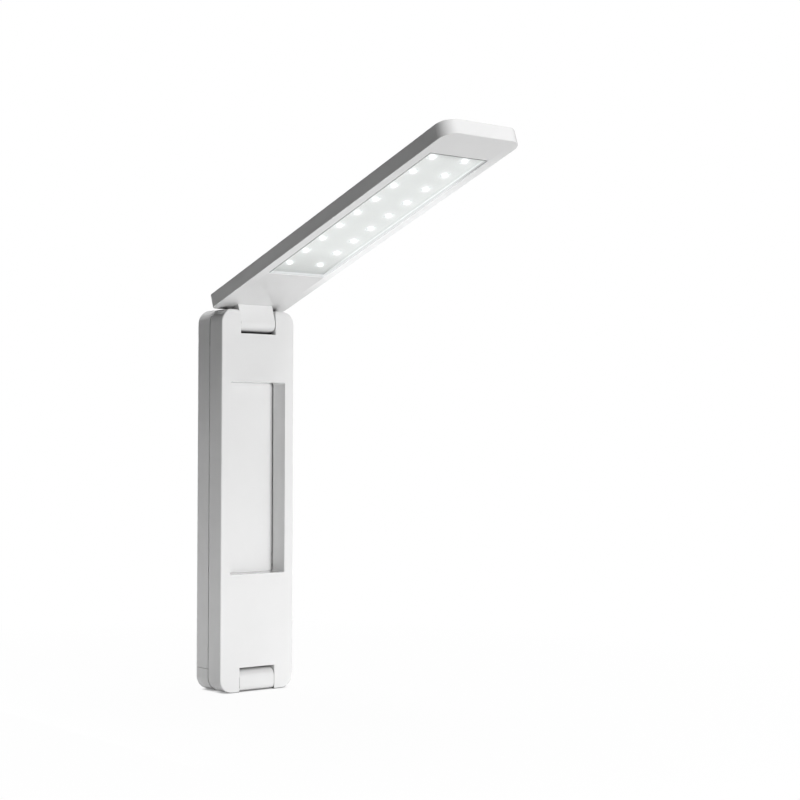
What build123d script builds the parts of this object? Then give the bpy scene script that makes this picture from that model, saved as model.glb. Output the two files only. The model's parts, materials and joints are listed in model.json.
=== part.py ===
from build123d import *
import math
import os

# A folding desk lamp of three leaves: the base behind, the arm in front of it, and the head
# above them. X is to the right, -Y is the front, +Z is up, and all sizes are in millimetres.
# The lamp stands on its lower end, arm folded against the base, head raised over the desk.
# Each part of the head is drawn level, with the hinge axis at the origin, and then lifted.

# Leaves
leaf_width = 40.0
leaf_length = 177.0
base_thickness = 10.0
arm_thickness = 10.7
leaf_gap = 0.3
head_length = 177.5
head_thickness = 6.5
head_gap = 1.2
head_lift = 19.0
head_stop_gap = 0.13
head_near_radius = 2.4
corner_radius = 6.6
edge_round = 0.6
outer_wall = 1.4
cut_over = 1.0
seam_gap = 0.2
fit_gap = 0.05

# Hinges: a knuckle on the base and on the head fills a notch in each end of the arm
knuckle_width = 19.0
knuckle_side_gap = 0.2
knuckle_reach = 4.8
notch_floor_gap = 1.15
notch_corner_round = 2.0
swing_gap = 0.1
pin_diameter = 3.6
pin_bore = 2.0
pin_half_length = 15.4
sleeve_wall = 0.6
sleeve_length = 15.0
sleeve_split = 1.4
washer_diameter = 7.6
washer_gap = 0.03
head_stub_round = 2.2

# Window through the arm
window_side_border = 4.8
window_lower_border = 54.2
window_upper_border = 33.8
window_corner = 0.8
window_wall = 1.2
window_step = 0.8

# Inner ends of the arm's hollow, and the channel that its lead lies in
hinge_block_length = 15.0
channel_width = 2.0
channel_depth = 2.6

# Screws: head, shank and the posts that they turn into
screw_head_diameter = 3.6
screw_head_height = 1.2
screw_shank_diameter = 2.0
screw_hole_gap = 0.1
screw_recess = 0.3
post_diameter = 5.0
arm_screw_x = 12.5
arm_screw_lower_inset = 30.0
arm_screw_upper_inset = 23.0
arm_screw_length = 7.0
base_screw_x = 14.0
base_screw_lower_inset = 18.0
base_screw_upper_inset = 9.0
base_screw_length = 6.6

# Base: what it holds
back_cover_end = 10.5
ballast_thickness = 3.0
ballast_side_gap = 0.6
ballast_bottom = 13.0
ballast_upper_inset = 29.0
ballast_corner = 2.0
weight_thickness = 3.6
weight_bottom = 31.0
weight_cell_gap = 2.0
cell_thickness = 3.5
cell_width = 30.0
cell_length = 48.0
cell_upper_inset = 33.0
cell_corner = 1.6
cell_tab_width = 3.0
cell_tab_height = 2.5
cell_tab_thickness = 0.4
cell_tab_spacing = 10.0
charge_board_width = 22.0
charge_board_lower_inset = 25.0
charge_board_thickness = 1.0
charge_board_inset = 0.4
board_post_diameter = 4.0
board_post_spacing = 15.0
board_post_inset = 21.0
socket_width = 8.9
socket_height = 3.2
socket_length = 7.3
socket_shell = 0.3
socket_tongue_width = 6.6
socket_tongue_height = 0.7
light_pipe_diameter = 2.0
light_pipe_x = 8.0
light_pipe_length = 5.0
charge_chip_size = 5.0
charge_chip_height = 1.2
charge_coil_size = 4.0
charge_coil_height = 2.0
foot_diameter = 8.0
foot_recess = 0.5
foot_height = 0.8
foot_x = 13.0
foot_lower_inset = 15.0
foot_upper_inset = 17.0

# Head: what it holds, measured along the head from the hinge axis
head_seam = 3.2
panel_start = 40.2
panel_length = 120.2
panel_border = 4.55
panel_recess = 0.05
panel_gap = 0.3
cover_thickness = 1.0
cover_flange = 1.0
cover_flange_thickness = 0.5
cover_ledge = 1.0
reflector_thickness = 0.5
reflector_hole = 5.0
board_start = 14.0
board_end_margin = 4.0
board_side_margin = 0.6
board_thickness = 0.8
board_height = 2.9
led_pitch = 13.2
led_start_margin = 7.9
led_end_margin = 5.0
led_row_spacing = 16.9
led_body_length = 3.5
led_body_width = 2.8
led_body_height = 0.5
led_dome_diameter = 2.4
led_dome_height = 0.85
resistor_length = 3.2
resistor_width = 1.6
resistor_height = 0.6
resistor_count = 6
resistor_start = 70.0
resistor_pitch = 14.0
driver_length = 5.0
driver_width = 4.0
driver_height = 1.2
driver_start = 34.0
neck_start = 1.6
neck_flange_width = 28.0
neck_flange_end = 12.0
neck_flange_height = 3.3
neck_flange_thickness = 0.9
neck_screw_x = 11.6
neck_screw_start = 8.0
neck_screw_length = 2.6
neck_screw_head_height = 0.6
button_start = 23.0
button_diameter = 9.0
button_flange_diameter = 11.0
button_flange_thickness = 0.5
button_proud = 0.6
button_travel = 0.3
button_gap = 0.15
button_dish_depth = 0.25
button_dish_radius = 30.0
switch_size = 5.2
switch_height = 0.5
plunger_diameter = 2.0
plunger_side_gap = 0.1

# Leads
lead_diameter = 1.2
lead_gap = 0.3
lead_turn_z = 22.0
lead_slant = 8.0

# Places that follow from the sizes above
half_width = leaf_width / 2
front_y = -(arm_thickness + leaf_gap + base_thickness) / 2
arm_back_y = front_y + arm_thickness
base_front_y = arm_back_y + leaf_gap
base_back_y = base_front_y + base_thickness
hinge_inset = arm_thickness / 2
axis_y = front_y + hinge_inset
lower_axis_z = hinge_inset
upper_axis_z = leaf_length - hinge_inset
notch_width = knuckle_width + 2 * knuckle_side_gap
notch_depth = hinge_inset + knuckle_reach + notch_floor_gap
underside = hinge_inset + head_gap
head_top = underside + head_thickness
head_end_drop = underside * math.cos(math.radians(head_lift)) - hinge_inset - head_stop_gap
head_overhang = head_end_drop / math.sin(math.radians(head_lift))
screw_head_hole = screw_head_diameter + 2 * screw_hole_gap
screw_shank_hole = screw_shank_diameter + 2 * screw_hole_gap
sleeve_diameter = pin_diameter + 2 * fit_gap + 2 * sleeve_wall
base_inner_back_y = base_back_y - outer_wall
ballast_front_y = base_inner_back_y - ballast_thickness
plate_back_y = base_front_y + outer_wall
inner_half_width = half_width - outer_wall
lead_run_x = inner_half_width - lead_gap - lead_diameter / 2
window_width = leaf_width - 2 * window_side_border
window_bottom = window_lower_border
window_top = leaf_length - window_upper_border
ballast_width = 2 * (inner_half_width - ballast_side_gap)
ballast_top = leaf_length - ballast_upper_inset
cell_top = leaf_length - cell_upper_inset
cell_bottom = cell_top - cell_length
weight_top = cell_bottom - weight_cell_gap
weight_width = 2 * (lead_run_x - lead_diameter / 2 - lead_gap)
charge_board_bottom = leaf_length - charge_board_lower_inset
board_post_z = leaf_length - board_post_inset
panel_width = leaf_width - 2 * panel_border
led_start = panel_start + led_start_margin
led_count = 1 + int((panel_length - led_start_margin - led_end_margin) / led_pitch)
parts_folder = "parts"


def swing_round(inset, reach):
    """Radius that keeps a corner, inset from the axis on both faces, within a given reach."""
    return (inset * math.sqrt(2) - reach) / (math.sqrt(2) - 1)


ear_front_round = swing_round(hinge_inset, underside - swing_gap)
ear_back_round = swing_round(hinge_inset, hinge_inset + leaf_gap - swing_gap)
knuckle_floor_round = swing_round(hinge_inset, knuckle_reach + notch_floor_gap - swing_gap)


def block(x_range, y_range, z_range):
    """A box between two places on each axis."""
    size = [high - low for low, high in (x_range, y_range, z_range)]
    middle = [(low + high) / 2 for low, high in (x_range, y_range, z_range)]
    return Pos(*middle) * Box(*size)


def rod(start, end, diameter):
    """A round bar from one point to another."""
    line = Vector(*end) - Vector(*start)
    return Plane(origin=start, z_dir=line) * extrude(Circle(diameter / 2), amount=line.length)


def upright_slab(width, z_range, y_range, radius):
    """A slab that stands up, rounded at its four corners as seen from the front."""
    low, high = z_range
    outline = Pos(0, (low + high) / 2) * RectangleRounded(width, high - low, radius)
    return Pos(0, y_range[1], 0) * extrude(Plane.XZ * outline, amount=y_range[1] - y_range[0])


def edge_cutter(edge_y, edge_z, radius, inward_y, inward_z):
    """What is cut away to round an edge that runs along X, right across a leaf."""
    corner = Rectangle(radius, radius, align=(Align.MIN, Align.MIN))
    corner -= Pos(radius, radius) * Circle(radius)
    bar = extrude(Plane.YZ * corner, amount=half_width + cut_over, both=True)
    if inward_y < 0:
        bar = mirror(bar, about=Plane.XZ)
    if inward_z < 0:
        bar = mirror(bar, about=Plane.XY)
    return Pos(0, edge_y, edge_z) * bar


def lead_tube(points, bend):
    """A round lead along straight runs, with one bend radius at every turn."""
    path = FilletPolyline(*points, radius=bend)
    section = Plane(origin=path @ 0, z_dir=path % 0) * Circle(lead_diameter / 2)
    return sweep(section, path=path)


def lifted(shape):
    """Carries a part drawn level, with the hinge axis at the origin, to the raised head."""
    return Pos(0, axis_y, upper_axis_z) * Rot(-head_lift, 0, 0) * shape


# ---------------------------------------------------------------- arm

def arm_outside():
    """The arm as one solid: rounded slab, notches, window and the rounding of its ears."""
    slab = upright_slab(leaf_width, (0, leaf_length), (front_y, arm_back_y), corner_radius)
    front_edges = slab.faces().sort_by(Axis.Y)[0].edges()
    back_edges = slab.faces().sort_by(Axis.Y)[-1].edges()
    slab = fillet(front_edges + back_edges, edge_round)
    slab -= edge_cutter(front_y, leaf_length, ear_front_round, 1, -1)
    slab -= edge_cutter(arm_back_y, 0, ear_back_round, -1, 1)
    depth = (front_y - cut_over, arm_back_y + cut_over)
    upper_floor = leaf_length - notch_depth
    for z_range in ((-cut_over, notch_depth), (upper_floor, leaf_length + cut_over)):
        slab -= block((-notch_width / 2, notch_width / 2), depth, z_range)
    for side in (-1, 1):
        corner_x = side * notch_width / 2
        away = (corner_x, corner_x + side * notch_corner_round)
        piece = block(
            (min(away), max(away)),
            depth,
            (leaf_length - notch_corner_round, leaf_length + cut_over),
        )
        piece -= rod(
            (corner_x + side * notch_corner_round, front_y - 2, leaf_length - notch_corner_round),
            (corner_x + side * notch_corner_round, arm_back_y + 2, leaf_length - notch_corner_round),
            2 * notch_corner_round,
        )
        slab -= piece
    slab -= upright_slab(window_width, (window_bottom, window_top), depth, window_corner)
    slab -= upright_slab(
        window_width + 2 * window_step,
        (window_bottom - window_step, window_top + window_step),
        (arm_back_y - window_step, depth[1]),
        window_corner + window_step,
    )
    return slab


def arm_screw_places():
    heights = (arm_screw_lower_inset, leaf_length - arm_screw_upper_inset)
    return [(x, z) for x in (-arm_screw_x, arm_screw_x) for z in heights]


def arm_hollow():
    """Everything inside the arm that is empty: the space in it, the bores and the channels."""
    inner_y = (front_y + outer_wall, arm_back_y - outer_wall)
    inner_z = (hinge_block_length, leaf_length - hinge_block_length)
    hollow = block((-inner_half_width, inner_half_width), inner_y, inner_z)
    rim = window_width / 2 + window_wall
    hollow -= block((-rim, rim), inner_y, (window_bottom - window_wall, window_top + window_wall))
    for x, z in arm_screw_places():
        hollow -= rod((x, inner_y[0], z), (x, inner_y[1], z), post_diameter)
    channel_x = (-inner_half_width, -inner_half_width + channel_width)
    channel_y = (axis_y - channel_depth / 2, axis_y + channel_depth / 2)
    hollow += block(channel_x, channel_y, (lower_axis_z - pin_bore, upper_axis_z + pin_bore))
    bore = pin_diameter + 2 * fit_gap
    for z in (lower_axis_z, upper_axis_z):
        hollow += rod((-inner_half_width, axis_y, z), (pin_half_length, axis_y, z), bore)
    return hollow


def arm_shells():
    """The arm's front and back shells, which meet at the hinge axes and clamp the pins."""
    whole = arm_outside() - arm_hollow()
    front_half = block((-half_width, half_width), (front_y, axis_y), (0, leaf_length))
    back_half = block((-half_width, half_width), (axis_y, arm_back_y), (0, leaf_length))
    front = whole & front_half
    back = whole & back_half
    head_seat_y = arm_back_y - screw_recess - screw_head_height
    for x, z in arm_screw_places():
        back -= rod((x, arm_back_y, z), (x, head_seat_y, z), screw_head_hole)
        back -= rod((x, head_seat_y, z), (x, axis_y, z), screw_shank_hole)
        front -= rod((x, axis_y, z), (x, head_seat_y - arm_screw_length, z), screw_shank_diameter)
    return front, back


def screw(head_place, direction, length, head_height):
    """A pan head screw: a head under which the shank runs in the given direction."""
    start = Vector(*head_place)
    along = Vector(*direction)
    head = rod(tuple(start - along * head_height), tuple(start), screw_head_diameter)
    shank = rod(tuple(start), tuple(start + along * length), screw_shank_diameter)
    driver = rod(
        tuple(start - along * head_height),
        tuple(start - along * head_height * 0.4),
        screw_head_diameter * 0.4,
    )
    return head + shank - driver


def arm_screws():
    seat_y = arm_back_y - screw_recess - screw_head_height
    return [
        screw((x, seat_y, z), (0, -1, 0), arm_screw_length, screw_head_height)
        for x, z in arm_screw_places()
    ]


# ---------------------------------------------------------------- hinges

def hinge_pin(z, window_y, window_z):
    """A hollow steel pin, with a window in one side of its middle for the lead."""
    pin = rod((-pin_half_length, axis_y, z), (pin_half_length, axis_y, z), pin_diameter)
    pin -= rod((-pin_half_length, axis_y, z), (pin_half_length, axis_y, z), pin_bore)
    window = Box(2 * lead_diameter, pin_diameter, pin_diameter)
    return pin - Pos(0, axis_y + window_y * pin_diameter / 2, z + window_z * pin_diameter / 2) * window


def friction_sleeve():
    """A sleeve that grips the pin, split along the side where the lead comes in (+Y)."""
    half = sleeve_length / 2
    sleeve = rod((-half, 0, 0), (half, 0, 0), sleeve_diameter)
    sleeve -= rod((-half, 0, 0), (half, 0, 0), pin_diameter + 2 * fit_gap)
    return sleeve - block((-half, half), (0, sleeve_diameter), (-sleeve_split / 2, sleeve_split / 2))


def friction_washers(z):
    """A thin washer on each side of a knuckle, between it and the arm's ear."""
    inner = knuckle_width / 2 + washer_gap
    outer = notch_width / 2 - washer_gap
    washers = []
    for side in (-1, 1):
        start, end = (side * inner, axis_y, z), (side * outer, axis_y, z)
        washers.append(rod(start, end, washer_diameter) - rod(start, end, pin_diameter + 2 * fit_gap))
    return washers


def knuckle_bore(y, z):
    """The bore for the sleeve, and for the bare pin outside it."""
    half = knuckle_width / 2
    bore = rod((-half, y, z), (half, y, z), pin_diameter + 2 * fit_gap)
    return bore + rod((-sleeve_length / 2, y, z), (sleeve_length / 2, y, z), sleeve_diameter)


# ---------------------------------------------------------------- base

def base_screw_places():
    heights = (base_screw_lower_inset, leaf_length - base_screw_upper_inset)
    return [(x, z) for x in (-base_screw_x, base_screw_x) for z in heights]


def foot_places():
    heights = (foot_lower_inset, leaf_length - foot_upper_inset)
    return [(x, z) for x in (-foot_x, foot_x) for z in heights]


def base_frame():
    """The base's front plate, its hinge block and its knuckle, moulded in one piece."""
    foot_block = upright_slab(leaf_width, (0, leaf_length), (base_front_y, base_back_y), corner_radius)
    foot_block = fillet(foot_block.faces().sort_by(Axis.Y)[-1].edges(), edge_round)
    keep = block(
        (-half_width, half_width),
        (base_front_y, base_back_y),
        (0, back_cover_end - seam_gap / 2),
    )
    foot_block &= keep
    plate_half = inner_half_width - seam_gap / 2
    plate = upright_slab(
        2 * plate_half,
        (0, leaf_length - outer_wall - seam_gap / 2),
        (base_front_y, plate_back_y),
        corner_radius - outer_wall,
    )
    plate &= block(
        (-plate_half, plate_half),
        (base_front_y, plate_back_y),
        (back_cover_end - seam_gap, leaf_length),
    )
    knuckle = block(
        (-knuckle_width / 2, knuckle_width / 2),
        (front_y, base_front_y),
        (0, lower_axis_z + knuckle_reach),
    )
    knuckle -= edge_cutter(front_y, lower_axis_z + knuckle_reach, knuckle_floor_round, 1, -1)
    knuckle -= edge_cutter(front_y, 0, ear_front_round, 1, 1)
    frame = foot_block + plate + knuckle
    frame -= knuckle_bore(axis_y, lower_axis_z)
    lead_hole = lead_diameter + 2 * lead_gap
    above, turn, end = base_lead_points()[-3:]
    frame -= rod(above, turn, lead_hole)
    frame -= rod((0, turn[1] + lead_hole / 2, lower_axis_z), (0, axis_y, lower_axis_z), lead_hole)
    seat_y = base_front_y + screw_recess
    for x, z in base_screw_places():
        frame += rod((x, base_front_y, z), (x, base_post_front_y(), z), post_diameter)
        frame -= rod((x, base_front_y, z), (x, seat_y + screw_head_height, z), screw_head_hole)
        frame -= rod((x, base_front_y, z), (x, base_back_y, z), screw_shank_hole)
    return frame


def base_post_front_y():
    """Where the front plate's posts meet those of the back cover."""
    return base_front_y + screw_recess + screw_head_height + outer_wall


def base_back_cover():
    """A tray that closes the base's back and sides, above the hinge block."""
    shell = upright_slab(leaf_width, (0, leaf_length), (base_front_y, base_back_y), corner_radius)
    shell = fillet(shell.faces().sort_by(Axis.Y)[-1].edges(), edge_round)
    inside = upright_slab(
        2 * inner_half_width,
        (-cut_over, leaf_length - outer_wall),
        (base_front_y - cut_over, base_inner_back_y),
        corner_radius - outer_wall,
    )
    shell -= inside
    shell &= block(
        (-half_width, half_width),
        (base_front_y, base_back_y),
        (back_cover_end + seam_gap / 2, leaf_length),
    )
    for x, z in base_screw_places():
        shell += rod((x, base_post_front_y(), z), (x, base_inner_back_y, z), post_diameter)
        shell -= rod((x, base_post_front_y(), z), (x, base_screw_end_y(), z), screw_shank_diameter)
    for side in (-1, 1):
        post_x = side * board_post_spacing / 2
        shell += rod(
            (post_x, charge_board_back_y(), board_post_z),
            (post_x, base_inner_back_y, board_post_z),
            board_post_diameter,
        )
    shell -= socket_opening()
    shell -= rod(
        (light_pipe_x, socket_y(), leaf_length - outer_wall - cut_over),
        (light_pipe_x, socket_y(), leaf_length + cut_over),
        light_pipe_diameter + 2 * fit_gap,
    )
    for x, z in foot_places():
        shell -= rod(
            (x, base_back_y - foot_recess, z),
            (x, base_back_y + cut_over, z),
            foot_diameter + 2 * fit_gap,
        )
    return shell


def base_screw_end_y():
    return base_front_y + screw_recess + screw_head_height + base_screw_length


def base_screws():
    seat_y = base_front_y + screw_recess + screw_head_height
    return [
        screw((x, seat_y, z), (0, 1, 0), base_screw_length, screw_head_height)
        for x, z in base_screw_places()
    ]


def ballast_plate():
    """A steel plate against the back cover, cut away round the posts of the screws."""
    y_range = (ballast_front_y, base_inner_back_y)
    plate = upright_slab(ballast_width, (ballast_bottom, ballast_top), y_range, ballast_corner)
    for x, z in base_screw_places():
        plate -= rod((x, y_range[0], z), (x, y_range[1], z), post_diameter + 2 * lead_gap)
        outer_x = (x, math.copysign(half_width, x))
        plate -= block(
            (min(outer_x), max(outer_x)),
            y_range,
            (z - post_diameter / 2 - lead_gap, z + post_diameter / 2 + lead_gap),
        )
    return plate


def ballast_weight():
    """A second, thicker steel weight in front of the plate, low in the base."""
    y_range = (ballast_front_y - weight_thickness, ballast_front_y)
    return upright_slab(weight_width, (weight_bottom, weight_top), y_range, ballast_corner)


def battery_cell():
    """A flat rechargeable cell with rounded sides."""
    y_range = (ballast_front_y - cell_thickness, ballast_front_y)
    cell = upright_slab(cell_width, (cell_bottom, cell_top), y_range, cell_corner)
    sides = cell.edges().filter_by(Axis.Z)
    return fillet(sides, cell_thickness * 0.4)


def cell_tabs():
    """The cell's two metal tabs, which stand on its upper end."""
    middle_y = ballast_front_y - cell_thickness / 2
    return [
        block(
            (x - cell_tab_width / 2, x + cell_tab_width / 2),
            (middle_y - cell_tab_thickness / 2, middle_y + cell_tab_thickness / 2),
            (cell_top, cell_top + cell_tab_height),
        )
        for x in (-cell_tab_spacing / 2, cell_tab_spacing / 2)
    ]


def charge_board_back_y():
    """The board's back face: the socket, which stands in front of it, is centred in the leaf."""
    return socket_y() + socket_height / 2 + charge_board_thickness


def socket_y():
    return (base_front_y + base_back_y) / 2 - charge_board_thickness / 2


def charge_board():
    back = charge_board_back_y()
    board = block(
        (-charge_board_width / 2, charge_board_width / 2),
        (back - charge_board_thickness, back),
        (charge_board_bottom, leaf_length - outer_wall - charge_board_inset),
    )
    return board


def socket_outline(margin):
    height = socket_height + 2 * margin
    return SlotOverall(socket_width + 2 * margin, height)


def socket_opening():
    opening = extrude(socket_outline(screw_hole_gap), amount=socket_length)
    return Pos(0, socket_y(), leaf_length - outer_wall - cut_over) * opening


def usb_socket():
    """The charging socket's metal shell, with its floor, flush with the base's upper end."""
    low = leaf_length - socket_length
    outside = extrude(socket_outline(0), amount=socket_length - screw_recess)
    inside = extrude(socket_outline(-socket_shell), amount=socket_length)
    return Pos(0, socket_y(), low) * (outside - Pos(0, 0, 2 * socket_shell) * inside)


def socket_tongue():
    """The contact tongue in the middle of the socket."""
    low = leaf_length - socket_length + 2 * socket_shell
    return block(
        (-socket_tongue_width / 2, socket_tongue_width / 2),
        (socket_y() - socket_tongue_height / 2, socket_y() + socket_tongue_height / 2),
        (low, leaf_length - 2 * outer_wall),
    )


def light_pipe():
    """A clear rod that shows the charge light at the base's upper end."""
    return rod(
        (light_pipe_x, socket_y(), leaf_length - light_pipe_length),
        (light_pipe_x, socket_y(), leaf_length),
        light_pipe_diameter,
    )


def charge_parts():
    """The charging chip, its coil and the charge light on the board's front face."""
    face_y = charge_board_back_y() - charge_board_thickness
    chip_z = charge_board_bottom + charge_chip_size
    coil_x = charge_chip_size + charge_coil_size / 2
    chip = block(
        (-charge_chip_size / 2, charge_chip_size / 2),
        (face_y - charge_chip_height, face_y),
        (chip_z - charge_chip_size / 2, chip_z + charge_chip_size / 2),
    )
    coil = rod((coil_x, face_y, chip_z), (coil_x, face_y - charge_coil_height, chip_z), charge_coil_size)
    lamp_top = leaf_length - light_pipe_length
    lamp = block(
        (light_pipe_x - light_pipe_diameter / 2, light_pipe_x + light_pipe_diameter / 2),
        (socket_y() - light_pipe_diameter / 2, face_y),
        (lamp_top - light_pipe_diameter, lamp_top),
    )
    return [chip, coil, lamp]


def rubber_feet():
    """Four feet in recesses on the base's back, for when the lamp lies on it."""
    return [
        rod((x, base_back_y - foot_recess, z), (x, base_back_y + foot_height, z), foot_diameter)
        for x, z in foot_places()
    ]


def base_lead_points():
    """The base's lead: from the board, down beside the weights, and into the knuckle."""
    run_y = plate_back_y + lead_diameter
    pad_x = -charge_board_width / 2 + lead_diameter
    pad_y = charge_board_back_y() - charge_board_thickness - lead_diameter / 2
    end_y = axis_y + sleeve_diameter / 2 + lead_diameter / 2
    return [
        (pad_x, pad_y, charge_board_bottom + 4 * lead_diameter),
        (pad_x, pad_y, charge_board_bottom),
        (-lead_run_x, run_y, charge_board_bottom - 4 * lead_diameter),
        (-lead_run_x, run_y, lead_turn_z + lead_slant),
        (0, run_y, lead_turn_z),
        (0, run_y, lower_axis_z),
        (0, end_y, lower_axis_z),
    ]


# ---------------------------------------------------------------- head, drawn level

def head_outline(margin):
    """The head from above, past the hinge axis to the end that stops on top of the arm."""
    length = head_length + head_overhang - 2 * margin
    middle_y = (head_overhang - head_length) / 2
    outline = Pos(0, middle_y) * Rectangle(leaf_width - 2 * margin, length)
    far_corners = outline.vertices().group_by(Axis.Y)[0]
    outline = fillet(far_corners, corner_radius - margin)
    near_corners = outline.vertices().group_by(Axis.Y)[-1]
    return fillet(near_corners, head_near_radius - margin)


def head_slab(low, high, margin):
    """A layer of the head between two heights above its underside."""
    return Pos(0, 0, underside + low) * extrude(head_outline(margin), amount=high - low)


def head_shell_solid():
    """The head's outer form: crisp edges, and a wide round over the top of the hinge end."""
    solid = head_slab(0, head_thickness, 0)
    bottom_edges = solid.faces().sort_by(Axis.Z)[0].edges()
    top_edges = solid.faces().sort_by(Axis.Z)[-1].edges()
    solid = fillet(bottom_edges + top_edges, edge_round / 2)
    return solid - edge_cutter(head_overhang, head_top, head_stub_round, -1, -1)


def head_bottom_shell():
    """The head's lower tray, with the panel's opening and the slot for the knuckle's neck."""
    tray = head_shell_solid() & block(
        (-half_width, half_width), (-head_length, head_overhang), (underside, underside + head_seam)
    )
    tray -= head_slab(outer_wall, head_thickness, outer_wall)
    tray -= block(
        (-panel_width / 2, panel_width / 2),
        (-panel_start - panel_length, -panel_start),
        (underside - cut_over, underside + outer_wall + cut_over),
    )
    tray -= block(
        (-knuckle_width / 2 - fit_gap, knuckle_width / 2 + fit_gap),
        (-knuckle_reach - fit_gap, -neck_start + fit_gap),
        (underside - cut_over, underside + outer_wall + cut_over),
    )
    for side in (-1, 1):
        tray += rod(
            (side * neck_screw_x, -neck_screw_start, underside + outer_wall),
            (side * neck_screw_x, -neck_screw_start, underside + neck_flange_height),
            post_diameter,
        )
        tray -= rod(
            (side * neck_screw_x, -neck_screw_start, underside + neck_flange_height),
            (side * neck_screw_x, -neck_screw_start, neck_screw_end()),
            screw_shank_diameter,
        )
    return tray


def neck_screw_end():
    return underside + neck_flange_height + neck_flange_thickness - neck_screw_length


def head_top_shell():
    """The head's upper shell, with the button's hole."""
    shell = head_shell_solid() & block(
        (-half_width, half_width),
        (-head_length, head_overhang),
        (underside + head_seam, underside + head_thickness),
    )
    shell -= head_slab(0, head_thickness - outer_wall, outer_wall)
    shell -= rod(
        (0, -button_start, head_top - outer_wall - cut_over),
        (0, -button_start, head_top + cut_over),
        button_diameter + 2 * button_gap,
    )
    return shell


def head_knuckle():
    """The knuckle that turns in the arm's upper notch, with its neck and its flange."""
    body = block(
        (-knuckle_width / 2, knuckle_width / 2),
        (-knuckle_reach, hinge_inset),
        (-hinge_inset, hinge_inset),
    )
    body -= edge_cutter(-knuckle_reach, -hinge_inset, knuckle_floor_round, 1, 1)
    body -= edge_cutter(hinge_inset, -hinge_inset, ear_back_round, -1, 1)
    body -= edge_cutter(hinge_inset, hinge_inset, ear_back_round, -1, -1)
    body += block(
        (-knuckle_width / 2, knuckle_width / 2),
        (-knuckle_reach, 0),
        (0, underside),
    )
    body += block(
        (-knuckle_width / 2, knuckle_width / 2),
        (-knuckle_reach, -neck_start),
        (underside, underside + neck_flange_height),
    )
    flange_low = underside + neck_flange_height
    flange = block(
        (-neck_flange_width / 2, neck_flange_width / 2),
        (-neck_flange_end, -neck_start),
        (flange_low, flange_low + neck_flange_thickness),
    )
    for side in (-1, 1):
        flange -= rod(
            (side * neck_screw_x, -neck_screw_start, flange_low - cut_over),
            (side * neck_screw_x, -neck_screw_start, flange_low + neck_flange_thickness + cut_over),
            screw_shank_hole,
        )
    body += flange
    body -= knuckle_bore(0, 0)
    lead_hole = lead_diameter + 2 * lead_gap
    start, turn, over, end = head_lead_points()
    body -= rod((0, 0, 0), turn, lead_hole)
    body -= Pos(*turn) * Sphere(lead_hole / 2)
    body -= rod(turn, (0, turn[1], flange_low + 2 * neck_flange_thickness), lead_hole)
    body -= block(
        (-lead_hole / 2, lead_hole / 2),
        (-neck_flange_end - cut_over, turn[1]),
        (over[2] - lead_hole / 2, flange_low + 2 * neck_flange_thickness),
    )
    return body


def neck_screws():
    seat_z = underside + neck_flange_height + neck_flange_thickness
    return [
        screw((side * neck_screw_x, -neck_screw_start, seat_z), (0, 0, -1),
              neck_screw_length, neck_screw_head_height)
        for side in (-1, 1)
    ]


def head_lead_points():
    """The head's lead: from the sleeve, up through the neck, over the flange to the board."""
    turn = Vector(0, -(neck_start + knuckle_reach) / 2, underside)
    start = turn.normalized() * (sleeve_diameter / 2 + lead_diameter / 2)
    over_z = underside + board_height + board_thickness + lead_diameter / 2
    return [
        tuple(start),
        tuple(turn),
        (0, turn.Y, over_z),
        (0, -board_start - 1.5 * lead_diameter, over_z),
    ]


def lead_angle():
    """The direction in which the head's lead leaves the sleeve, turned from +Y, in degrees."""
    turn = head_lead_points()[1]
    return math.degrees(math.atan2(turn[2], turn[1]))


def led_cover():
    """The clear cover over the lights: a plate in the opening, held by a thin inner flange."""
    plate = block(
        (-panel_width / 2 + panel_gap, panel_width / 2 - panel_gap),
        (-panel_start - panel_length + panel_gap, -panel_start - panel_gap),
        (underside + panel_recess, underside + outer_wall),
    )
    flange = block(
        (-panel_width / 2 - cover_flange, panel_width / 2 + cover_flange),
        (-panel_start - panel_length - cover_flange, -panel_start + cover_flange),
        (underside + outer_wall, underside + outer_wall + cover_flange_thickness),
    )
    flange -= block(
        (-panel_width / 2 + panel_gap + cover_ledge, panel_width / 2 - panel_gap - cover_ledge),
        (-panel_start - panel_length + panel_gap + cover_ledge, -panel_start - panel_gap - cover_ledge),
        (underside + outer_wall, underside + outer_wall + cover_flange_thickness),
    )
    return plate + flange


def led_places():
    return [
        (side * led_row_spacing / 2, -led_start - index * led_pitch)
        for index in range(led_count)
        for side in (-1, 1)
    ]


def led_board():
    """The circuit board, which rests on ledges at the sides of the lower shell."""
    half = inner_half_width - board_side_margin
    low = underside + board_height
    return block(
        (-half, half),
        (-panel_start - panel_length - board_end_margin, -board_start),
        (low, low + board_thickness),
    )


def leds():
    """Surface mounted lights under the board, each with a low dome."""
    top = underside + board_height
    shapes = []
    for x, y in led_places():
        body = block(
            (x - led_body_width / 2, x + led_body_width / 2),
            (y - led_body_length / 2, y + led_body_length / 2),
            (top - led_body_height, top),
        )
        low = top - led_body_height
        dome = Pos(x, y, low) * extrude(Circle(led_dome_diameter / 2), amount=-led_dome_height)
        dome = fillet(dome.edges().sort_by(Axis.Z)[0], led_dome_height * 0.8)
        shapes.append(body + dome)
    return shapes


def reflector():
    """A white sheet against the board, with a round hole for each light."""
    top = underside + board_height
    sheet = block(
        (-panel_width / 2 - cover_flange, panel_width / 2 + cover_flange),
        (-panel_start - panel_length - cover_flange, -panel_start + cover_flange),
        (top - reflector_thickness, top),
    )
    for x, y in led_places():
        sheet -= rod((x, y, top - cut_over), (x, y, top + cut_over), reflector_hole)
    return sheet


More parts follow.
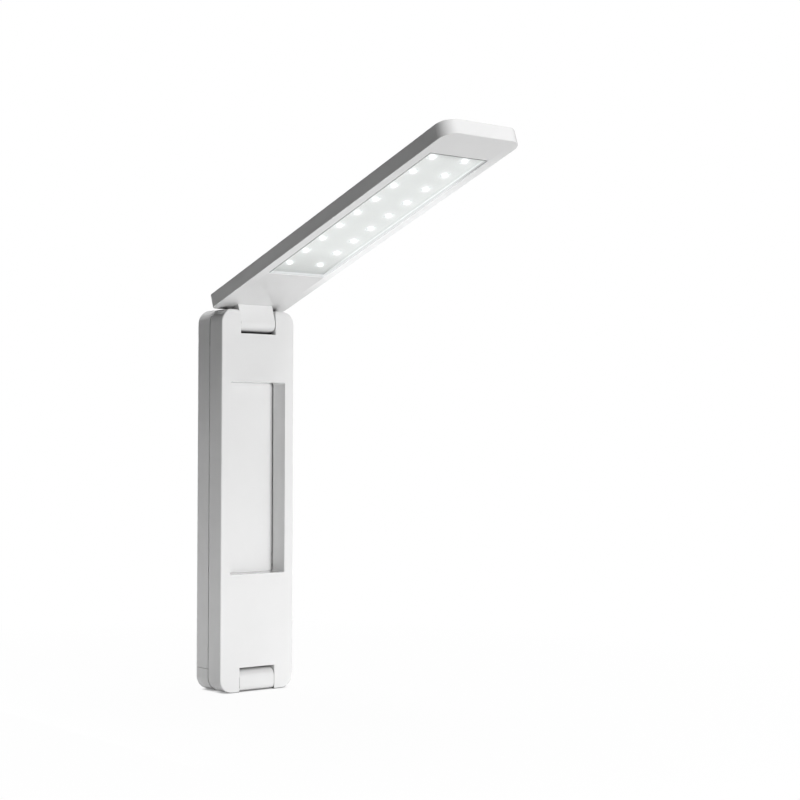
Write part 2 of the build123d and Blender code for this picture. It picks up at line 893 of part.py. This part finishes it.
def board_rails():
    """Two long strips of foam that hold the board against the lower shell's floor."""
    low = underside + outer_wall
    half = inner_half_width - board_side_margin
    inner = panel_width / 2 + cover_flange + panel_gap
    return [
        block(
            (min(side * inner, side * half), max(side * inner, side * half)),
            (-panel_start - panel_length, -panel_start),
            (low, underside + board_height),
        )
        for side in (-1, 1)
    ]


def chip_resistors():
    low = underside + board_height + board_thickness
    return [
        block(
            (-resistor_width / 2, resistor_width / 2),
            (y - resistor_length / 2, y + resistor_length / 2),
            (low, low + resistor_height),
        )
        for y in (-resistor_start - index * resistor_pitch for index in range(resistor_count))
    ]


def driver_chip():
    low = underside + board_height + board_thickness
    return block(
        (-driver_width / 2, driver_width / 2),
        (-driver_start - driver_length, -driver_start),
        (low, low + driver_height),
    )


def button_low():
    """Height of the button flange's lower face at rest."""
    return head_top - outer_wall - fit_gap - button_flange_thickness


def power_button():
    """A round button, lightly dished, kept in by a flange under the shell."""
    low = button_low()
    cap = rod((0, -button_start, low), (0, -button_start, head_top + button_proud), button_diameter)
    cap = fillet(cap.edges().sort_by(Axis.Z)[-1], edge_round / 2)
    dish_z = head_top + button_proud - button_dish_depth + button_dish_radius
    cap -= Pos(0, -button_start, dish_z) * Sphere(button_dish_radius)
    flange = rod((0, -button_start, low), (0, -button_start, low + button_flange_thickness),
                 button_flange_diameter)
    return cap + flange


def switch_body():
    """The switch under the button, with the bore that its plunger works in."""
    low = underside + board_height + board_thickness
    half = switch_size / 2
    body = block((-half, half), (-button_start - half, -button_start + half), (low, low + switch_height))
    return body - rod(
        (0, -button_start, low + fit_gap),
        (0, -button_start, low + switch_height + cut_over),
        plunger_diameter + 2 * plunger_side_gap,
    )


def switch_plunger():
    """The switch's plunger, which the button pushes down."""
    low = underside + board_height + board_thickness + fit_gap + button_travel
    return rod((0, -button_start, low + fit_gap), (0, -button_start, button_low()), plunger_diameter)


# ---------------------------------------------------------------- the lamp

def arm_lead():
    """The lead along the arm's left side, from one hollow pin to the other."""
    run_x = -inner_half_width + channel_width / 2
    inside_x = -knuckle_width / 2
    return lead_tube(
        [
            (inside_x, axis_y, lower_axis_z),
            (run_x, axis_y, lower_axis_z),
            (run_x, axis_y, upper_axis_z),
            (inside_x, axis_y, upper_axis_z),
        ],
        lead_diameter,
    )


def build_lamp():
    """Every piece of the lamp by name, in place."""
    arm_front, arm_back = arm_shells()
    pieces = {
        "arm_front_shell": arm_front,
        "arm_back_shell": arm_back,
        "arm_screws": arm_screws(),
        "arm_lead": arm_lead(),
        "upper_hinge_pin": hinge_pin(upper_axis_z, 0, 1),
        "lower_hinge_pin": hinge_pin(lower_axis_z, 1, 0),
        "upper_friction_washers": friction_washers(upper_axis_z),
        "lower_friction_washers": friction_washers(lower_axis_z),
        "lower_friction_sleeve": Pos(0, axis_y, lower_axis_z) * friction_sleeve(),
        "base_frame": base_frame(),
        "base_back_cover": base_back_cover(),
        "base_screws": base_screws(),
        "base_lead": lead_tube(base_lead_points(), 1.5 * lead_diameter),
        "ballast_plate": ballast_plate(),
        "ballast_weight": ballast_weight(),
        "battery_cell": battery_cell(),
        "cell_tabs": cell_tabs(),
        "charge_board": charge_board(),
        "charge_parts": charge_parts(),
        "usb_socket": usb_socket(),
        "socket_tongue": socket_tongue(),
        "charge_light_pipe": light_pipe(),
        "rubber_feet": rubber_feet(),
    }
    head_pieces = {
        "head_bottom_shell": head_bottom_shell(),
        "head_top_shell": head_top_shell(),
        "head_knuckle": head_knuckle(),
        "upper_friction_sleeve": Rot(lead_angle(), 0, 0) * friction_sleeve(),
        "knuckle_screws": neck_screws(),
        "head_lead": lead_tube(head_lead_points(), lead_diameter),
        "led_cover": led_cover(),
        "led_board": led_board(),
        "leds": leds(),
        "led_reflector": reflector(),
        "board_rails": board_rails(),
        "chip_resistors": chip_resistors(),
        "driver_chip": driver_chip(),
        "power_button": power_button(),
        "switch_body": switch_body(),
        "switch_plunger": switch_plunger(),
    }
    for name, shape in head_pieces.items():
        is_group = isinstance(shape, list)
        pieces[name] = [lifted(one) for one in shape] if is_group else lifted(shape)
    return pieces


os.makedirs(parts_folder, exist_ok=True)
for name, shape in build_lamp().items():
    solid = Compound(children=shape) if isinstance(shape, list) else shape
    export_step(solid, f"{parts_folder}/{name}.step")
    print(name, round(solid.volume, 1))
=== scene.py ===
import json
import math

import bpy
from mathutils import Matrix, Vector

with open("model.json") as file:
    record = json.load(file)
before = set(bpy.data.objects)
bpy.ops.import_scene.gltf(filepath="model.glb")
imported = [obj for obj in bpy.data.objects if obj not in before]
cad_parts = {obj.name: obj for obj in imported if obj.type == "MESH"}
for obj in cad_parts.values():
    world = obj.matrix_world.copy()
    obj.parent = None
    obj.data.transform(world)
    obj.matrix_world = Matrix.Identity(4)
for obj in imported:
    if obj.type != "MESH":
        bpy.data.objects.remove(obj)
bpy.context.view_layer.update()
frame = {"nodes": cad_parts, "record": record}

# ---------------------------------------------------------------- sizes, in metres

# The camera, with its turns in degrees and its lens and sensor in millimetres
CAMERA_PLACE = (-0.438813, -0.666764, 0.117654)
CAMERA_YAW = -38.567
CAMERA_PITCH = 1.272
CAMERA_ROLL = -0.162
CAMERA_LENS = 76.004
SENSOR_WIDTH = 36.0

# The head's hinge and how far it is lifted, and then, with the head turned level, the height of its underside
# over the hinge, how thin a skin counts as that underside, and the panel's opening with a margin round it
PLACES = {joint["name"]: joint.get("pos_m") for joint in frame["record"]["behaviour"]["joints"]}
HEAD_HINGE = tuple(PLACES["head_hinge"])
HEAD_LIFT = math.radians(19.0)
HEAD_UP = (0.0, math.sin(HEAD_LIFT), math.cos(HEAD_LIFT))
HEAD_UNDERSIDE = 0.00655
HEAD_SKIN = 0.00005
PANEL_HALF_WIDTH = 0.01545
PANEL_START = 0.0402
PANEL_END = 0.1604
PANEL_MARGIN = 0.003

# The lights, in two rows numbered from 0, and how their glow falls off and leans across the rows
LIGHT_COLOUR = (0.97, 0.985, 1.0, 1.0)
LIGHT_CORE = 1.3
LIGHT_RIM = 0.54
LIGHT_ROW_X = 0.00845
LIGHT_FIRST = 0.0481
LIGHT_PITCH = 0.0132
LIGHT_LAST = 8.0
GLOW_REACH = 0.0022
GLOW_POWER = 2.0
GLOW_LEAN = 0.9

# Their light painted as a glow on other pieces that are no lamps: close to each one, along the rows, on the
# foam and on the opening's walls
NEAR_LIGHT = 0.72
BROAD_LIGHT = 0.25
FOAM_LIGHT = 0.5
WALL_LIGHT = 0.84

# Two stretches along the head: where each starts, is full, begins to fade and ends
ROWS_STRETCH = (0.038, 0.062, 0.150, 0.174)
SPILL_STRETCH = (0.020, 0.045, 0.125, 0.170)

# The panel's light painted on the strips beside it
SPILL_RIGHT = 0.24
SPILL_LEFT = 0.04

# The cover: its clear plate and the plate's edges, which get painted shade, the rim of its face greyed with
# painted shade, and its right corner with painted shade
CLEAR_TINT = (0.985, 0.99, 0.985, 1.0)
CLEAR_IOR = 1.49
CLEAR_ROUGHNESS = (0.10, 0.16)
CLEAR_MOTTLE_SCALE = 60.0
PLATE_THICKNESS = 0.0013
EDGE_STEEPNESS = 0.5
EDGE_SHADE_GREY = 0.03
RIM_REACH = 0.0006
RIM_SHADE = 0.55
CORNER_SIDE = 0.0115
CORNER_START = 0.136
CORNER_END = 0.154
CORNER_SHADE = 1.5

# Moulded and metal surfaces, with their mottle and grain in features per metre
PLASTIC_IOR = 1.5
MOTTLE_SCALE = 45.0
MOTTLE_DETAIL = 3.0
GRAIN_SCALE = 900.0
GRAIN_DETAIL = 2.0
GRAIN_STRENGTH = 0.25
GRAIN_DEPTH = 0.00001
FINE_GRAIN_DEPTH = 0.000003
BUTTON_GRAIN_DEPTH = 0.000006
RUBBER_GRAIN_DEPTH = 0.00002

# Painted shade in narrow gaps: within what reach, how dark, and at what openness the gaps are darkest and
# don't darken
OCCLUSION_SAMPLES = 8
GAP_REACH = 0.0025
GAP_SHADE_DARK = 0.03
GAP_CLOSED = 0.14
GAP_OPEN = 0.48

# The fine seams along the leaves' sides and round the lower hinge, where the painted gap shade is kept only
# by a share
SEAM_SIDE = 0.0165
SEAM_TOP = 0.16
LOW_HINGE_TOP = 0.056
LOW_EDGE = 0.003
SEAM_SHADE = 0.3

# The floor: its half size, its near and far grey, which paint a pool of light round the lamp, and its shade
# round the lamp and where it stands
FLOOR_HALF_SIZE = 3.0
FLOOR_NEAR = 0.60
FLOOR_FAR = 0.20
FLOOR_FADE = (0.15, 0.6)
FLOOR_SHADE = 0.035
FLOOR_SHADE_REACH = 0.3
CONTACT_REACH = 0.003
CONTACT_DARK = 0.3
CONTACT_FADE = (0.15, 0.55)

# The world: its own light, and the sky in reflections, which is white at the horizon and grey above it
WORLD_LIGHT = 0.01
SKY_GREY = 0.14
SKY_FADE = (0.0, 0.05)


# ---------------------------------------------------------------- camera

def add_camera():
    """The camera, in front of the lamp and to its left, at half its height."""
    data = bpy.data.cameras.new("camera")
    data.lens = CAMERA_LENS
    data.sensor_width = SENSOR_WIDTH
    data.clip_start = 0.01
    data.clip_end = 50.0
    camera = bpy.data.objects.new("camera", data)
    bpy.context.collection.objects.link(camera)
    turn = Matrix.Rotation(math.radians(CAMERA_YAW), 4, "Z")
    turn = turn @ Matrix.Rotation(math.radians(CAMERA_PITCH), 4, "X")
    turn = turn @ Matrix.Rotation(math.radians(CAMERA_ROLL), 4, "Y")
    turn = turn @ Matrix.Rotation(math.radians(90), 4, "X")
    camera.matrix_world = Matrix.Translation(CAMERA_PLACE) @ turn
    bpy.context.scene.camera = camera


# ---------------------------------------------------------------- nodes

def new_material(name):
    """A material with an empty node tree and its output."""
    material = bpy.data.materials.new(name)
    material.use_nodes = True
    tree = material.node_tree
    tree.nodes.clear()
    output = tree.nodes.new("ShaderNodeOutputMaterial")
    return material, tree, output


def node(tree, kind, values=None, **settings):
    """A node with its settings, and its inputs filled in by name or number."""
    made = tree.nodes.new(kind)
    for key, value in settings.items():
        setattr(made, key, value)
    for key, value in (values or {}).items():
        made.inputs[key].default_value = value
    return made


def grey(value):
    """A grey as a colour."""
    return (value, value, value, 1.0)


def noise(tree, scale, detail):
    """Noise in the object's own coordinates, with its scale in features per metre."""
    place = node(tree, "ShaderNodeTexCoord")
    texture = node(tree, "ShaderNodeTexNoise", {"Scale": scale, "Detail": detail})
    tree.links.new(place.outputs["Object"], texture.inputs["Vector"])
    return texture.outputs["Fac"]


def ramp(tree, source, low, high, start=0.3, end=0.7):
    """Maps a value to a colour between two, or to a number given as a grey."""
    made = node(tree, "ShaderNodeValToRGB")
    first, last = made.color_ramp.elements
    first.position, first.color = start, low
    last.position, last.color = end, high
    tree.links.new(source, made.inputs["Fac"])
    return made.outputs["Color"]


def openness(tree, reach):
    """1 where nothing is within reach of a point, and less the more closed in it is."""
    occlusion = node(tree, "ShaderNodeAmbientOcclusion", {"Distance": reach}, samples=OCCLUSION_SAMPLES)
    return occlusion.outputs["AO"]


def split(tree, vector):
    """The three parts of a vector."""
    parts = node(tree, "ShaderNodeSeparateXYZ")
    tree.links.new(vector, parts.inputs[0])
    return parts.outputs["X"], parts.outputs["Y"], parts.outputs["Z"]


def mix_shaders(tree, share, first, second):
    """Two shaders mixed by the second one's share."""
    mix = node(tree, "ShaderNodeMixShader")
    tree.links.new(share, mix.inputs["Fac"])
    tree.links.new(first, mix.inputs[1])
    tree.links.new(second, mix.inputs[2])
    return mix.outputs["Shader"]


# ---------------------------------------------------------------- arithmetic in nodes

def calculate(tree, operation, first, second=None, clamp=False):
    """One arithmetic step: each value is a number or another step's output."""
    made = node(tree, "ShaderNodeMath", operation=operation, use_clamp=clamp)
    for index, value in enumerate((first, second)):
        if value is None:
            continue
        if isinstance(value, (int, float)):
            made.inputs[index].default_value = value
        else:
            tree.links.new(value, made.inputs[index])
    return made.outputs[0]


def repeat(tree, operation, values):
    """One operation through a row of values."""
    result, *others = values
    for value in others:
        result = calculate(tree, operation, result, value)
    return result


def product(tree, *values):
    """All the values multiplied."""
    return repeat(tree, "MULTIPLY", values)


def largest(tree, *values):
    """The largest of the values."""
    return repeat(tree, "MAXIMUM", values)


def above(tree, value, limit):
    """1 where a value is above a limit, and otherwise 0."""
    return calculate(tree, "GREATER_THAN", value, limit)


def below(tree, value, limit):
    """1 where a value is below a limit, and otherwise 0."""
    return calculate(tree, "LESS_THAN", value, limit)


def rise(tree, value, start, end):
    """0 where a value is at the start, 1 at the end, and straight between them."""
    past = calculate(tree, "SUBTRACT", value, start)
    return calculate(tree, "DIVIDE", past, end - start, clamp=True)


def stretch(tree, along, start, full, fading, end):
    """1 in the middle of a stretch of the head, and falling to 0 towards both its ends."""
    return product(tree, rise(tree, along, start, full), rise(tree, along, end, fading))


# ---------------------------------------------------------------- places on the lamp

def place_in_head(tree):
    """How far a point of the head is right of the middle, along from the hinge, and above the underside."""
    place = node(tree, "ShaderNodeTexCoord")
    turned = {"Center": HEAD_HINGE, "Angle": HEAD_LIFT}
    level = node(tree, "ShaderNodeVectorRotate", turned, rotation_type="X_AXIS")
    tree.links.new(place.outputs["Object"], level.inputs["Vector"])
    side, forward, height = split(tree, level.outputs[0])
    along = calculate(tree, "SUBTRACT", HEAD_HINGE[1], forward)
    over = calculate(tree, "SUBTRACT", height, HEAD_HINGE[2] + HEAD_UNDERSIDE)
    return side, along, over


def light_distance(tree):
    """How far a point of the head is from the nearest light, on rings that lean across the rows."""
    side, along, _ = place_in_head(tree)
    across = calculate(tree, "SUBTRACT", calculate(tree, "ABSOLUTE", side), LIGHT_ROW_X)
    across = product(tree, across, calculate(tree, "SIGN", side))
    along = calculate(tree, "SUBTRACT", along, LIGHT_FIRST)
    count = calculate(tree, "ROUND", calculate(tree, "DIVIDE", along, LIGHT_PITCH))
    count = calculate(tree, "MINIMUM", largest(tree, count, 0.0), LIGHT_LAST)
    along = calculate(tree, "SUBTRACT", along, product(tree, count, LIGHT_PITCH))
    square = calculate(tree, "ADD", product(tree, across, across), product(tree, along, along))
    lean = product(tree, across, along, GLOW_LEAN)
    return calculate(tree, "SQRT", calculate(tree, "ADD", square, lean))


def glow(tree):
    """Falls off smoothly from 1 over a light to 0 far from it."""
    share = calculate(tree, "DIVIDE", light_distance(tree), GLOW_REACH)
    fall = calculate(tree, "DIVIDE", 1.0, calculate(tree, "ADD", 1.0, product(tree, share, share)))
    return calculate(tree, "POWER", fall, GLOW_POWER)


def in_seams(tree):
    """1 where the fine seams are, along the leaves' sides and round the lower hinge, and otherwise 0."""
    place = node(tree, "ShaderNodeTexCoord")
    side, _, height = split(tree, place.outputs["Object"])
    outside = above(tree, calculate(tree, "ABSOLUTE", side), SEAM_SIDE)
    leaf_side = product(tree, outside, below(tree, height, SEAM_TOP))
    seams = largest(tree, leaf_side, below(tree, height, LOW_HINGE_TOP))
    return product(tree, seams, above(tree, height, LOW_EDGE))


def painted_gap_shade(tree):
    """Painted shade as a grey: 1 on open surfaces, dark deep in narrow gaps, and less dark in the fine seams.
    """
    shade = ramp(tree, openness(tree, GAP_REACH), grey(GAP_SHADE_DARK), grey(1.0), GAP_CLOSED, GAP_OPEN)
    gap = calculate(tree, "SUBTRACT", 1.0, shade)
    light = product(tree, gap, in_seams(tree), 1.0 - SEAM_SHADE)
    return calculate(tree, "ADD", shade, light)


# ---------------------------------------------------------------- kinds of surface

def plain_surface(name, low, high, rough, metallic=0.0, depth=GRAIN_DEPTH, gaps=False):
    """A moulded or metal surface: mottled a little in colour and roughness, with a fine grain, and where gaps
    is set, with painted shade in narrow gaps.
    """
    material, tree, output = new_material(name)
    shader = node(tree, "ShaderNodeBsdfPrincipled", {"Metallic": metallic, "IOR": PLASTIC_IOR})
    mottle = noise(tree, MOTTLE_SCALE, MOTTLE_DETAIL)
    colour = ramp(tree, mottle, low, high)
    if gaps:
        mix = node(tree, "ShaderNodeMix", {"Factor": 1.0}, data_type="RGBA", blend_type="MULTIPLY")
        tree.links.new(colour, mix.inputs["A"])
        tree.links.new(painted_gap_shade(tree), mix.inputs["B"])
        colour = mix.outputs["Result"]
    smoothest, roughest = rough
    grain = node(tree, "ShaderNodeBump", {"Strength": GRAIN_STRENGTH, "Distance": depth})
    tree.links.new(noise(tree, GRAIN_SCALE, GRAIN_DETAIL), grain.inputs["Height"])
    tree.links.new(colour, shader.inputs["Base Color"])
    tree.links.new(ramp(tree, mottle, grey(smoothest), grey(roughest)), shader.inputs["Roughness"])
    tree.links.new(grain.outputs["Normal"], shader.inputs["Normal"])
    tree.links.new(shader.outputs["BSDF"], output.inputs["Surface"])
    return material


def paint_glow(material, strength):
    """Paints a glow in the lights' colour on a plain surface that is no lamp, at a strength worked out in its
    tree.
    """
    tree = material.node_tree
    shader = next(part for part in tree.nodes if part.type == "BSDF_PRINCIPLED")
    shader.inputs["Emission Color"].default_value = LIGHT_COLOUR
    tree.links.new(strength, shader.inputs["Emission Strength"])


def lit_plastic(name, low, high, rough, near, broad):
    """A white surface beside the lights, with their light painted on as a glow: close to each one, and evenly
    along the rows.
    """
    material = plain_surface(name, low, high, rough)
    tree = material.node_tree
    _, along, _ = place_in_head(tree)
    around = product(tree, glow(tree), near)
    rows = product(tree, stretch(tree, along, *ROWS_STRETCH), broad)
    paint_glow(material, calculate(tree, "ADD", around, rows))
    return material


def lit_shell(name, low, high, rough):
    """The head's lower shell: painted light inside the panel's opening and a little on the strips beside it,
    and painted shade in its narrow gaps.
    """
    material = plain_surface(name, low, high, rough, depth=FINE_GRAIN_DEPTH, gaps=True)
    tree = material.node_tree
    side, along, height = place_in_head(tree)
    inside = product(tree,
                     below(tree, calculate(tree, "ABSOLUTE", side), PANEL_HALF_WIDTH + PANEL_MARGIN),
                     above(tree, along, PANEL_START - PANEL_MARGIN),
                     below(tree, along, PANEL_END + PANEL_MARGIN),
                     above(tree, height, HEAD_SKIN))
    right = product(tree, above(tree, side, PANEL_HALF_WIDTH), SPILL_RIGHT)
    left = product(tree, below(tree, side, -PANEL_HALF_WIDTH), SPILL_LEFT)
    beside = calculate(tree, "ADD", right, left)
    spill = product(tree, beside, stretch(tree, along, *SPILL_STRETCH), below(tree, height, HEAD_SKIN))
    paint_glow(material, calculate(tree, "ADD", product(tree, inside, WALL_LIGHT), spill))
    return material


def light_surface(name):
    """The lights: a very bright middle that falls off to a dimmer rim."""
    material, tree, output = new_material(name)
    shader = node(tree, "ShaderNodeEmission", {"Color": LIGHT_COLOUR})
    strength = calculate(tree, "ADD", product(tree, glow(tree), LIGHT_CORE), LIGHT_RIM)
    tree.links.new(strength, shader.inputs["Strength"])
    tree.links.new(shader.outputs["Emission"], output.inputs["Surface"])
    return material


def painted_edge_shade(tree, height):
    """Where the cover's plate gets painted edge shade: 1 on the edges of the plate, which stand square to its
    face, and otherwise 0.
    """
    place = node(tree, "ShaderNodeTexCoord")
    facing = node(tree, "ShaderNodeVectorMath", {1: HEAD_UP}, operation="DOT_PRODUCT")
    tree.links.new(place.outputs["Normal"], facing.inputs[0])
    level = calculate(tree, "ABSOLUTE", facing.outputs["Value"])
    return product(tree, below(tree, level, EDGE_STEEPNESS), below(tree, height, PLATE_THICKNESS))


def painted_rim_shade(tree, side, along, height):
    """How much painted shade the cover's face gets: on its left, near and far rims, and softly in its far
    right corner.
    """
    across = calculate(tree, "POWER", rise(tree, side, CORNER_SIDE, PANEL_HALF_WIDTH), 2.0)
    corner = product(tree, across, rise(tree, along, CORNER_START, CORNER_END), CORNER_SHADE)
    rim = largest(tree, corner,
                  below(tree, side, RIM_REACH - PANEL_HALF_WIDTH),
                  below(tree, along, PANEL_START + RIM_REACH),
                  above(tree, along, PANEL_END - RIM_REACH))
    return product(tree, rim, below(tree, height, RIM_REACH), RIM_SHADE)


def clear_surface(name):
    """The clear cover: see-through, with a glossy face, and painted shade on its edges and as a greyed rim
    round its face.
    """
    material, tree, output = new_material(name)
    clear = node(tree, "ShaderNodeBsdfTransparent", {"Color": CLEAR_TINT})
    gloss = node(tree, "ShaderNodeBsdfGlossy")
    # A dark diffuse that paints the shade on the cover's edges, rim and corner
    dark = node(tree, "ShaderNodeBsdfDiffuse", {"Color": grey(EDGE_SHADE_GREY)})
    fresnel = node(tree, "ShaderNodeFresnel", {"IOR": CLEAR_IOR})
    geometry = node(tree, "ShaderNodeNewGeometry")
    outer = calculate(tree, "SUBTRACT", 1.0, geometry.outputs["Backfacing"])
    smoothest, roughest = CLEAR_ROUGHNESS
    mottle = noise(tree, CLEAR_MOTTLE_SCALE, GRAIN_DETAIL)
    tree.links.new(ramp(tree, mottle, grey(smoothest), grey(roughest)), gloss.inputs["Roughness"])
    sheen = product(tree, fresnel.outputs["Fac"], outer)
    face = mix_shaders(tree, sheen, clear.outputs["BSDF"], gloss.outputs["BSDF"])
    side, along, height = place_in_head(tree)
    shade = largest(tree, painted_edge_shade(tree, height), painted_rim_shade(tree, side, along, height))
    whole = mix_shaders(tree, product(tree, shade, outer), face, dark.outputs["BSDF"])
    tree.links.new(whole, output.inputs["Surface"])
    return material


# ---------------------------------------------------------------- materials

def make_materials():
    """The material of each record slot by its name, and that of the lower shell by its node's name.

    A surface has its darkest and lightest colour, its smoothest and roughest finish, and then, where they
    aren't the plain ones, how metallic it is and how deep its grain is.
    """
    white = (grey(0.81), grey(0.83), (0.12, 0.15))
    panel = ((0.715, 0.725, 0.72, 1.0), (0.755, 0.765, 0.76, 1.0))
    made = {
        "clear_plastic": clear_surface("clear_plastic"),
        "led": light_surface("led"),
        # The white plastic and the lower shell get painted shade in their narrow gaps
        "white_plastic": plain_surface("white_plastic", *white, depth=FINE_GRAIN_DEPTH, gaps=True),
        # The lower shell, board, reflector and foam have the lights' light painted on them as a glow
        "head_bottom_shell": lit_shell("lit_shell", *white),
        "white_board": lit_plastic("white_board", *panel, (0.3, 0.4), NEAR_LIGHT, BROAD_LIGHT),
        "reflector": lit_plastic("reflector", *panel, (0.4, 0.5), NEAR_LIGHT, BROAD_LIGHT),
        "foam": lit_plastic("foam", grey(0.75), grey(0.8), (0.8, 0.9), 0.0, FOAM_LIGHT),
    }
    plain = {
        "button_plastic": (grey(0.72), grey(0.75), (0.25, 0.32), 0.0, BUTTON_GRAIN_DEPTH),
        "circuit_board": ((0.01, 0.07, 0.03, 1.0), (0.015, 0.1, 0.04, 1.0), (0.3, 0.4)),
        "black_plastic": (grey(0.015), grey(0.025), (0.35, 0.5)),
        "rubber": (grey(0.09), grey(0.12), (0.6, 0.75), 0.0, RUBBER_GRAIN_DEPTH),
        "lead": ((0.45, 0.02, 0.015, 1.0), (0.55, 0.03, 0.02, 1.0), (0.35, 0.45)),
        "nylon": ((0.7, 0.69, 0.66, 1.0), (0.75, 0.74, 0.7, 1.0), (0.4, 0.5)),
        "steel": (grey(0.55), grey(0.62), (0.25, 0.38), 1.0),
        "nickel": ((0.6, 0.59, 0.56, 1.0), (0.68, 0.67, 0.63, 1.0), (0.22, 0.32), 1.0),
        "ballast": (grey(0.35), grey(0.45), (0.35, 0.5), 1.0),
        "cell": (grey(0.6), grey(0.68), (0.3, 0.4), 1.0),
    }
    for name, values in plain.items():
        made[name] = plain_surface(name, *values)
    return made


def dress_nodes(made):
    """Gives each node of the frame its own material, or else that of its record slot."""
    slots = {part["node"]: part["material_slot"] for part in frame["record"]["subparts"]}
    for name, piece in frame["nodes"].items():
        piece.data.materials.clear()
        piece.data.materials.append(made.get(name, made[slots[name]]))


# ---------------------------------------------------------------- floor, world and lights

def floor_share(tree, distance):
    """How white the floor is to the camera: a little less near the lamp, and dark only where they touch."""
    near = calculate(tree, "DIVIDE", distance, FLOOR_SHADE_REACH, clamp=True)
    near = calculate(tree, "SUBTRACT", 1.0, calculate(tree, "POWER", near, 2.0))
    share = calculate(tree, "SUBTRACT", 1.0, product(tree, near, FLOOR_SHADE))
    contact = ramp(tree, openness(tree, CONTACT_REACH), grey(CONTACT_DARK), grey(1.0), *CONTACT_FADE)
    return product(tree, share, contact)


def floor_surface():
    """White to the camera and in reflections, and for light a grey that darkens away from the lamp, a painted
    pool of light.
    """
    material, tree, output = new_material("floor")
    place = node(tree, "ShaderNodeTexCoord")
    length = node(tree, "ShaderNodeVectorMath", operation="LENGTH")
    tree.links.new(place.outputs["Object"], length.inputs[0])
    distance = length.outputs["Value"]
    plain = node(tree, "ShaderNodeBsdfDiffuse")
    colour = ramp(tree, distance, grey(FLOOR_NEAR), grey(FLOOR_FAR), *FLOOR_FADE)
    tree.links.new(colour, plain.inputs["Color"])
    white = node(tree, "ShaderNodeEmission", {"Strength": 1.0})
    rays = node(tree, "ShaderNodeLightPath").outputs
    seen = largest(tree, rays["Is Camera Ray"], rays["Is Transmission Ray"], rays["Is Glossy Ray"])
    share = product(tree, seen, floor_share(tree, distance))
    whole = mix_shaders(tree, share, plain.outputs["BSDF"], white.outputs["Emission"])
    tree.links.new(whole, output.inputs["Surface"])
    return material


def add_floor():
    """A plain pale floor, with a faint shade round the lamp and a darker one where it stands."""
    mesh = bpy.data.meshes.new("floor")
    half = FLOOR_HALF_SIZE
    corners = [(-half, -half, 0), (half, -half, 0), (half, half, 0), (-half, half, 0)]
    mesh.from_pydata(corners, [], [(0, 1, 2, 3)])
    mesh.materials.append(floor_surface())
    floor = bpy.data.objects.new("floor", mesh)
    bpy.context.collection.objects.link(floor)


def add_world():
    """White to the camera, dim for light, and in reflections white at the horizon and grey above it."""
    world = bpy.data.worlds.new("world")
    bpy.context.scene.world = world
    world.use_nodes = True
    tree = world.node_tree
    tree.nodes.clear()
    output = tree.nodes.new("ShaderNodeOutputWorld")
    place = node(tree, "ShaderNodeTexCoord")
    _, _, up = split(tree, place.outputs["Generated"])
    dim = node(tree, "ShaderNodeBackground", {"Strength": WORLD_LIGHT, "Color": grey(1.0)})
    white = node(tree, "ShaderNodeBackground", {"Strength": 1.0, "Color": grey(1.0)})
    sky = node(tree, "ShaderNodeBackground", {"Strength": 1.0})
    tree.links.new(ramp(tree, up, grey(1.0), grey(SKY_GREY), *SKY_FADE), sky.inputs["Color"])
    rays = node(tree, "ShaderNodeLightPath").outputs
    seen = largest(tree, rays["Is Camera Ray"], rays["Is Transmission Ray"])
    shown = mix_shaders(tree, seen, dim.outputs[0], white.outputs[0])
    shown = mix_shaders(tree, rays["Is Glossy Ray"], shown, sky.outputs[0])
    tree.links.new(shown, output.inputs["Surface"])


def add_area(name, place, aim, size, power):
    """A soft flat light that faces a point and isn't seen itself."""
    data = bpy.data.lights.new(name, "AREA")
    data.shape = "RECTANGLE"
    data.size, data.size_y = size
    data.energy = power
    light = bpy.data.objects.new(name, data)
    bpy.context.collection.objects.link(light)
    light.location = place
    light.rotation_euler = (Vector(aim) - Vector(place)).to_track_quat("-Z", "Y").to_euler()
    light.visible_camera = False
    light.visible_glossy = False


def add_lights():
    """A low light far in front, a high one, one above, a faint one low on the left and one behind."""
    middle = (0.0, 0.0, 0.1)
    add_area("key", place=(0.0, -2.6, 0.12), aim=middle, size=(0.9, 0.2), power=42.0)
    add_area("front_top", place=(0.15, -1.8, 1.95), aim=middle, size=(1.0, 0.7), power=10.6)
    add_area("top", place=(0.3, 0.05, 2.2), aim=(0.0, -0.05, 0.0), size=(1.2, 1.2), power=50.0)
    add_area("card", place=(-0.12, 0.0, 0.012), aim=(0.0, 0.0, 0.02), size=(0.3, 0.024), power=0.026)
    add_area("back", place=(1.1, 2.2, 0.9), aim=middle, size=(1.2, 1.0), power=22.0)


# ---------------------------------------------------------------- the scene

bpy.context.scene.view_settings.view_transform = "Standard"
add_camera()
dress_nodes(make_materials())
add_floor()
add_world()
add_lights()
